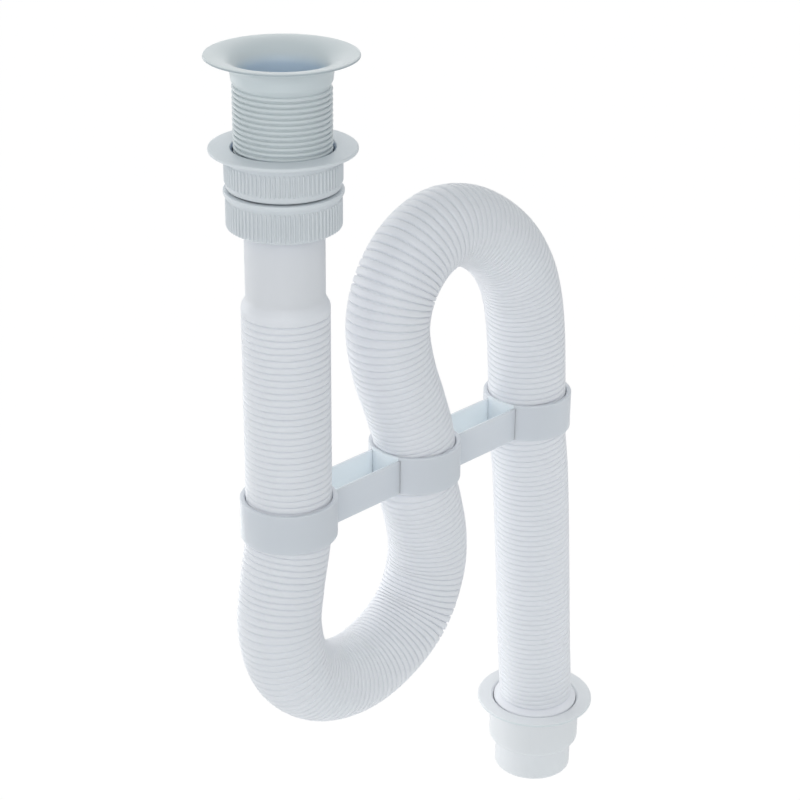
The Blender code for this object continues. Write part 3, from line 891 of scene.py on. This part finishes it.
# %% A tree that sweeps a corrugated wall along a curve
def corrugated_tree():
    tree, given = shape_tree(
        "corrugated wall",
        {
            "Pitch": 0.003,
            "Depth": 0.0015,
            "Groove": 0.15,
            "Ridges Start": 0.04,
            "Ridges End": 0.8,
            "Bore": 0.0166,
            "Stations": 1900,
            "Sides": 48,
            "Bore Stations": 150,
        },
    )
    fine = put(
        tree,
        "GeometryNodeResampleCurve",
        {"Curve": given["Geometry"], "Count": given["Stations"]},
    ).outputs[0]
    run = tree.nodes.new("GeometryNodeSplineParameter").outputs["Length"]
    after_start = calc(tree, "GREATER_THAN", run, given["Ridges Start"])
    before_end = calc(tree, "LESS_THAN", run, given["Ridges End"])
    ridged = calc(tree, "MULTIPLY", after_start, before_end)
    # How far a station lies from the nearest groove's middle, in pitches: -0.5 to 0.5
    from_start = calc(tree, "SUBTRACT", run, given["Ridges Start"])
    turns = calc(tree, "SUBTRACT", calc(tree, "DIVIDE", from_start, given["Pitch"]), 0.5)
    aside = calc(tree, "SUBTRACT", turns, calc(tree, "ROUND", turns))
    # Squaring that distance gathers the stations at the groove, where the wall turns sharply
    doubled = calc(tree, "MULTIPLY", aside, 2.0)
    gathered = calc(tree, "MULTIPLY", doubled, calc(tree, "ABSOLUTE", aside))
    shift = calc(tree, "MULTIPLY", calc(tree, "SUBTRACT", gathered, aside), given["Pitch"])
    moved_run = calc(tree, "ADD", run, calc(tree, "MULTIPLY", shift, ridged))
    groove = put(
        tree,
        "ShaderNodeMapRange",
        {"Value": calc(tree, "ABSOLUTE", gathered), "From Min": given["Groove"], "From Max": 0.0},
        interpolation_type="SMOOTHSTEP",
    ).outputs["Result"]
    groove = calc(tree, "MULTIPLY", groove, ridged)
    # Blown ridges are never all alike: each one's depth wanders a little
    wander = put(
        tree,
        "ShaderNodeTexNoise",
        {"W": calc(tree, "MULTIPLY", run, 180.0), "Scale": 1.0, "Detail": 1.0},
        noise_dimensions="1D",
    ).outputs[0]
    depth = calc(tree, "MULTIPLY", given["Depth"], calc(tree, "MULTIPLY_ADD", wander, 0.35, 0.82))
    plain = tree.nodes.new("GeometryNodeInputRadius").outputs[0]
    radius = calc(tree, "SUBTRACT", plain, calc(tree, "MULTIPLY", groove, depth))
    fine = put(
        tree,
        "GeometryNodeStoreNamedAttribute",
        {"Geometry": fine, "Name": "girth", "Value": radius},
        data_type="FLOAT",
        domain="POINT",
    ).outputs[0]
    fine = put(
        tree,
        "GeometryNodeStoreNamedAttribute",
        {"Geometry": fine, "Name": "crest", "Value": calc(tree, "SUBTRACT", 1.0, groove)},
        data_type="FLOAT",
        domain="POINT",
    ).outputs[0]
    on_route = put(
        tree,
        "GeometryNodeSampleCurve",
        {"Curves": given["Geometry"], "Length": moved_run},
        mode="LENGTH",
    ).outputs["Position"]
    fine = put(
        tree, "GeometryNodeSetPosition", {"Geometry": fine, "Position": on_route}
    ).outputs[0]
    girth = put(
        tree, "GeometryNodeInputNamedAttribute", {"Name": "girth"}, data_type="FLOAT"
    ).outputs[0]
    ring = put(
        tree, "GeometryNodeCurvePrimitiveCircle", {"Resolution": given["Sides"], "Radius": 1.0}
    ).outputs[0]
    outside = put(
        tree, "GeometryNodeCurveToMesh", {"Curve": fine, "Profile Curve": ring, "Scale": girth}
    ).outputs[0]
    coarse = put(
        tree,
        "GeometryNodeResampleCurve",
        {"Curve": given["Geometry"], "Count": given["Bore Stations"]},
    ).outputs[0]
    inside = put(
        tree,
        "GeometryNodeCurveToMesh",
        {"Curve": coarse, "Profile Curve": ring, "Scale": given["Bore"]},
    ).outputs[0]
    inside = put(tree, "GeometryNodeFlipFaces", {"Mesh": inside}).outputs[0]
    join = put(tree, "GeometryNodeJoinGeometry")
    tree.links.new(outside, join.inputs[0])
    tree.links.new(inside, join.inputs[0])
    closed = put(
        tree, "GeometryNodeMergeByDistance", {"Geometry": join.outputs[0], "Distance": 0.00002}
    ).outputs[0]
    end_tree(tree, closed, given["Material"])
    return tree


# %% The hose
# Stations are evenly spaced before they are gathered, so the pitch is made a whole number of
# them, and the ridges start where one station falls on each groove's middle
stations = round(hose_length / RIDGE_PITCH * RIDGE_STATIONS) + 1
ridge_pitch = hose_length / (stations - 1) * RIDGE_STATIONS
first_groove = round((ridges_start / ridge_pitch + 0.5) * RIDGE_STATIONS) / RIDGE_STATIONS
ridges_start = ridge_pitch * (first_groove - 0.5)
# The last ridge may run a little way into the cone above the outlet
ridge_count = round((ridges_end - ridges_start) / ridge_pitch + 0.2)
hose = grow(
    route_curve("hose route"),
    corrugated_tree(),
    {
        "Pitch": ridge_pitch,
        "Depth": RIDGE_DEPTH,
        "Groove": GROOVE_SHARE,
        "Ridges Start": ridges_start,
        "Ridges End": ridges_start + ridge_count * ridge_pitch,
        "Bore": HOSE_BORE,
        "Stations": stations,
        "Sides": HOSE_SIDES,
        "Bore Stations": BORE_STATIONS,
    },
    HOSE_WHITE,
    "corrugated_hose",
)
print(ridge_count, "ridges,", round(ridge_pitch * 1000, 3), "mm apart")
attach(hose, "hose")
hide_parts("hose")

# %% [markdown]
# ## The clip
#
# The clip is one moulding: three rings, with two thin walls between each pair. One ring and one
# wall are modelled, and a tree repeats each in a row, at the same distance as the legs. A wall's
# ends stop inside the thickness of the rings, so nothing shows in the bores. Light comes through
# the thin walls and makes the faces between them paler and bluer, so those are painted.


# %% The pale faces between the clip's walls
BETWEEN_WALLS = (0.86, 0.92, 0.97)
LINK_WIDTH = 0.0190
LINK_WALL = 0.0015


def between_walls(tree, x, y, z):
    """1 between the two walls of a pair, and 0 outside them and on the rings."""
    wall_middle = LINK_WIDTH / 2 - LINK_WALL * 0.6
    within = calc(tree, "LESS_THAN", calc(tree, "ABSOLUTE", y), wall_middle)
    to_leg = calc(tree, "PINGPONG", x, LEG_PITCH / 2)
    off_rings = calc(tree, "GREATER_THAN", to_leg, RING_RADIUS * 0.91)
    after_first = calc(tree, "GREATER_THAN", x, 0.0)
    before_last = calc(tree, "LESS_THAN", x, 2 * LEG_PITCH)
    along = calc(tree, "MULTIPLY", after_first, before_last)
    return calc(tree, "MULTIPLY", calc(tree, "MULTIPLY", within, off_rings), along)


paint_over(CLIP_WHITE, between_walls, BETWEEN_WALLS)


# %% A tree that repeats a piece in a row
def row_tree():
    tree, given = shape_tree("row", {"Count": 3, "Spacing": 0.08})
    step = put(tree, "ShaderNodeCombineXYZ", {"X": given["Spacing"]}).outputs[0]
    places = put(
        tree, "GeometryNodeMeshLine", {"Count": given["Count"], "Offset": step}
    ).outputs[0]
    row = put(
        tree,
        "GeometryNodeInstanceOnPoints",
        {"Points": places, "Instance": given["Geometry"]},
    ).outputs[0]
    end_tree(tree, row, given["Material"])
    return tree


ROW = row_tree()

# %% The rings and the link walls
RING_WALL = 0.0021
RING_EDGE = 0.0005
RING_LEAD = 0.0007
RING_GRIP = HOSE_RADIUS + 0.00015
LINK_HEIGHT = 0.0170
LINK_LIFT = 0.0003
LINK_EASE = 0.00035

ring_bore = RING_RADIUS - RING_WALL
ring_outline = [
    (RING_RADIUS, RING_TOP, RING_EDGE),
    (RING_RADIUS, RING_BOTTOM, RING_EDGE),
    (ring_bore, RING_BOTTOM, RING_EDGE),
    (RING_GRIP, RING_BOTTOM + RING_LEAD, 0.0002),
    (RING_GRIP, RING_TOP - RING_LEAD, 0.0002),
    (ring_bore, RING_TOP, RING_EDGE),
]
rings = grow(
    turned("ring start", ring_outline),
    ROW,
    {"Count": 3, "Spacing": LEG_PITCH},
    CLIP_WHITE,
    "clip_rings",
)


def link_wall(side):
    """One thin wall with eased edges; side is -1 at the front and 1 at the back."""
    sunk = math.sqrt(RING_RADIUS**2 - (LINK_WIDTH / 2) ** 2) - RING_WALL * 0.3
    shape = bmesh.new()
    bmesh.ops.create_cube(shape, size=1.0)
    bmesh.ops.scale(shape, vec=(LEG_PITCH - 2 * sunk, LINK_WALL, LINK_HEIGHT), verts=shape.verts)
    aside = side * (LINK_WIDTH - LINK_WALL) / 2
    height = RING_BOTTOM + LINK_LIFT + LINK_HEIGHT / 2
    bmesh.ops.translate(shape, vec=(LEG_PITCH / 2, aside, height), verts=shape.verts)
    edges = shape.edges[:]
    bmesh.ops.bevel(shape, geom=edges, offset=LINK_EASE, segments=3, affect="EDGES", profile=0.5)
    mesh = bpy.data.meshes.new("link wall")
    shape.to_mesh(mesh)
    shape.free()
    made = bpy.data.objects.new("link wall", mesh)
    bpy.context.scene.collection.objects.link(made)
    return grow(made, ROW, {"Count": 2, "Spacing": LEG_PITCH}, CLIP_WHITE, "clip_walls")


def joined(name, pieces):
    """Several plain meshes in one object, all in the first one's material."""
    shape = bmesh.new()
    for piece in pieces:
        shape.from_mesh(piece.data)
    mesh = bpy.data.meshes.new(name)
    shape.to_mesh(mesh)
    shape.free()
    mesh.materials.append(pieces[0].data.materials[0])
    for piece in pieces:
        bpy.data.objects.remove(piece, do_unlink=True)
    made = bpy.data.objects.new(name, mesh)
    bpy.context.scene.collection.objects.link(made)
    return made


clip = joined("triple_ring_clip", [rings, link_wall(-1), link_wall(1)])
clip.data.set_sharp_from_angle(angle=SHARP_ANGLE)
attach(clip, "hose")
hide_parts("clip")

# %% [markdown]
# ## The outlet fitting
#
# The outlet steps down from a thin flange to a collar for a wide drain socket, and again to a
# spigot for a narrow one. The hose's last cuff sits in it, and the joint shows as a fine dark
# ring, so the socket keeps its real gap and the chamfer that leads the cuff in.

# %% The outlet fitting
FLANGE_THICKNESS = 0.0016
FLANGE_EDGE_PAINTED_SHADE = (0.74, 0.78, 0.80)
SOCKET_RADIUS = OUTLET_CUFF_RADIUS + 0.0003
SOCKET_LEAD = 0.0013
OUTLET_COLLAR = SOCKET_RADIUS + 0.0015
SPIGOT_RADIUS = 0.0204
SPIGOT_BORE = SPIGOT_RADIUS - 0.0022
socket_low = FLANGE_TOP - OUTLET_CUFF_LENGTH - 0.0003
collar_low = socket_low - 0.0044

outlet_outline = [
    (FLANGE_RADIUS, FLANGE_TOP, 0.0006),
    (FLANGE_RADIUS, FLANGE_TOP - FLANGE_THICKNESS, 0.0006),
    (OUTLET_COLLAR, FLANGE_TOP - FLANGE_THICKNESS, 0.0005),
    (OUTLET_COLLAR, collar_low, 0.0034),
    (SPIGOT_RADIUS, collar_low, 0.0008),
    (SPIGOT_RADIUS, OUTLET_END, 0.0012),
    (SPIGOT_BORE, OUTLET_END, 0.0005),
    (SPIGOT_BORE, socket_low, 0.0003),
    (SOCKET_RADIUS, socket_low, 0.0003),
    (SOCKET_RADIUS, FLANGE_TOP - SOCKET_LEAD, 0.0003),
    (SOCKET_RADIUS + 0.8 * SOCKET_LEAD, FLANGE_TOP, 0.0003),
]
outlet = turned("stepped_outlet", outlet_outline, centre_x=OUTLET_X)
outlet.data.materials.append(OUTLET_WHITE)
for face in outlet.data.polygons:
    face.use_smooth = True
outlet.data.set_sharp_from_angle(angle=SHARP_ANGLE)
# Painted shade along the flange's outer edge
paint_edge_shade(OUTLET_WHITE, FLANGE_RADIUS, FLANGE_TOP, FLANGE_EDGE_PAINTED_SHADE, axis_x=OUTLET_X)
print("stepped_outlet has", len(outlet.data.polygons) * 2, "triangles")
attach(outlet, "outlet")
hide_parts("outlet_fitting")

# %% [markdown]
# ## Floor and world
#
# The photograph's ground is pure white. A white floor under plain light would come out grey, and
# more light would burn out the white object. So what the camera sees directly, or in a
# reflection, is mostly a plain glow of strength 1, and the light that reaches the object comes
# only from the lamps and the world. The floor keeps a share of its own shading, which leaves the
# object a faint shadow.


# %% Rays that see the ground itself
def sees_ground(tree):
    rays = tree.nodes.new("ShaderNodeLightPath").outputs
    seen = calc(tree, "MAXIMUM", rays["Is Camera Ray"], rays["Is Glossy Ray"])
    return calc(tree, "MAXIMUM", seen, rays["Is Transmission Ray"])


# %% The floor
FLOOR_DROP = 0.3200
FLOOR_HALF = 6.0
SHADOW_SHARE = 0.03
GROUND_GLOW = 1.02

floor_mesh = bpy.data.meshes.new("floor")
floor_z = OUTLET_END - FLOOR_DROP
floor_mesh.from_pydata(
    [(x * FLOOR_HALF, y * FLOOR_HALF, floor_z) for x, y in ((-1, -1), (1, -1), (1, 1), (-1, 1))],
    [],
    [(0, 1, 2, 3)],
)
floor = bpy.data.objects.new("floor", floor_mesh)
bpy.context.scene.collection.objects.link(floor)
floor_paint = bpy.data.materials.new("white ground")
floor_paint.use_nodes = True
paint = floor_paint.node_tree
matt_white = paint.nodes["Principled BSDF"]
matt_white.inputs["Base Color"].default_value = (0.90, 0.91, 0.92, 1.0)
matt_white.inputs["Roughness"].default_value = 0.9
matt_white.inputs["Specular IOR Level"].default_value = 0.1
glow = put(paint, "ShaderNodeEmission", {"Color": (1.0, 1.0, 1.0, 1.0), "Strength": GROUND_GLOW})
glow_share = calc(paint, "MULTIPLY", sees_ground(paint), 1.0 - SHADOW_SHARE)
white_and_glow = {0: glow_share, 1: matt_white.outputs[0], 2: glow.outputs[0]}
seen_floor = put(paint, "ShaderNodeMixShader", white_and_glow)
paint.links.new(seen_floor.outputs[0], paint.nodes["Material Output"].inputs["Surface"])
floor_mesh.materials.append(floor_paint)
print("floor at", round(floor_z, 4))

# %% The world
WORLD_COLOUR = (0.92, 0.98, 1.0, 1.0)
WORLD_STRENGTH = 0.50

world = bpy.data.worlds.new("white studio")
bpy.context.scene.world = world
world.use_nodes = True
air = world.node_tree
sky = air.nodes["Background"]
sky.inputs["Color"].default_value = WORLD_COLOUR
sky.inputs["Strength"].default_value = WORLD_STRENGTH
white = put(air, "ShaderNodeBackground", {"Color": (1.0, 1.0, 1.0, 1.0), "Strength": 1.0})
sky_and_white = {0: sees_ground(air), 1: sky.outputs[0], 2: white.outputs[0]}
seen_air = put(air, "ShaderNodeMixShader", sky_and_white)
air.links.new(seen_air.outputs[0], air.nodes["World Output"].inputs["Surface"])

# %% [markdown]
# ## Lamps
#
# Soft boxes light the trap as in a product studio. The widest stands beside the camera and gives
# the flat, even white, and a smaller one on the left shades the ribs and the thread. One high
# behind the trap lifts the flanges and the crown, and three behind it on the left draw bright
# sides on the legs. A small one on the right opens the shade on the crown and the last leg,
# another lifts the outlet, and the last stands for the light that a white table throws back.
# Each is an area lamp aimed at a place.


# %% Soft boxes
def soft_box(name, place, target, sides, power):
    data = bpy.data.lights.new(name, "AREA")
    data.shape = "RECTANGLE"
    data.size, data.size_y = sides
    data.energy = power
    lamp = bpy.data.objects.new(name, data)
    lamp.location = place
    lamp.rotation_mode = "QUATERNION"
    lamp.rotation_quaternion = (Vector(target) - Vector(place)).to_track_quat("-Z", "Y")
    bpy.context.scene.collection.objects.link(lamp)


TRAP_MIDDLE = (0.08, 0.0, -0.20)
# For each lamp: its place, what it is aimed at, its two sides in metres and its power in watts
SOFT_BOXES = {
    "camera box": ((-0.70, -0.75, 0.25), TRAP_MIDDLE, (0.8, 0.8), 3.0),
    "left box": ((-1.00, -0.35, 0.10), TRAP_MIDDLE, (0.5, 0.5), 1.0),
    "high back box": ((0.50, 0.70, 0.30), (0.10, 0.0, -0.20), (0.8, 0.8), 1.6),
    "far left box": ((-0.10, 0.50, -0.12), (0.18, 0.0, -0.40), (0.4, 0.3), 0.72),
    "low left box": ((-0.30, 0.35, -0.65), (0.16, 0.0, -0.38), (0.3, 0.3), 0.35),
    "last leg box": ((0.06, 0.26, -0.36), (0.18, 0.0, -0.36), (0.2, 0.2), 0.20),
    "right box": ((0.50, -0.25, -0.12), (0.18, 0.0, -0.24), (0.3, 0.3), 0.10),
    "outlet box": ((0.32, -0.18, -0.27), (0.18, 0.0, -0.39), (0.15, 0.15), 0.07),
    "table glow": ((0.15, -0.10, -0.70), (0.12, 0.0, -0.30), (0.5, 0.5), 0.30),
}
for box_name, (box_place, box_target, box_sides, box_power) in SOFT_BOXES.items():
    soft_box(box_name, box_place, box_target, box_sides, box_power)
print(len(SOFT_BOXES), "soft boxes")

# %% [markdown]
# ## Camera
#
# The camera stands where the photograph was taken from: about a metre from the trap's middle,
# to the left and a little above the rim, looking down at it through a long lens.

# %% Camera
PHOTO_SIDE_PIXELS = 800
FOCAL_PIXELS = 2035
SENSOR = 36.0
HEADING = math.radians(43.62)
PITCH_DOWN = math.radians(24.53)
ROLL = math.radians(0.516)
CAMERA_PLACE = (-0.5543, -0.5966, 0.2161)
QUARTER_TURN = math.radians(90)

camera_data = bpy.data.cameras.new("camera")
camera_data.sensor_width = SENSOR
camera_data.lens = FOCAL_PIXELS / PHOTO_SIDE_PIXELS * SENSOR
camera_data.clip_start = 0.05
camera = bpy.data.objects.new("camera", camera_data)
bpy.context.scene.collection.objects.link(camera)
aim = Euler((QUARTER_TURN - PITCH_DOWN, 0.0, HEADING - QUARTER_TURN), "XYZ").to_matrix()
aim = aim @ Matrix.Rotation(ROLL, 3, "Z")
camera.rotation_mode = "QUATERNION"
camera.rotation_quaternion = aim.to_quaternion()
camera.location = CAMERA_PLACE
bpy.context.scene.camera = camera
bpy.context.scene.view_settings.view_transform = "Standard"
print("lens", round(camera_data.lens, 1), "mm")
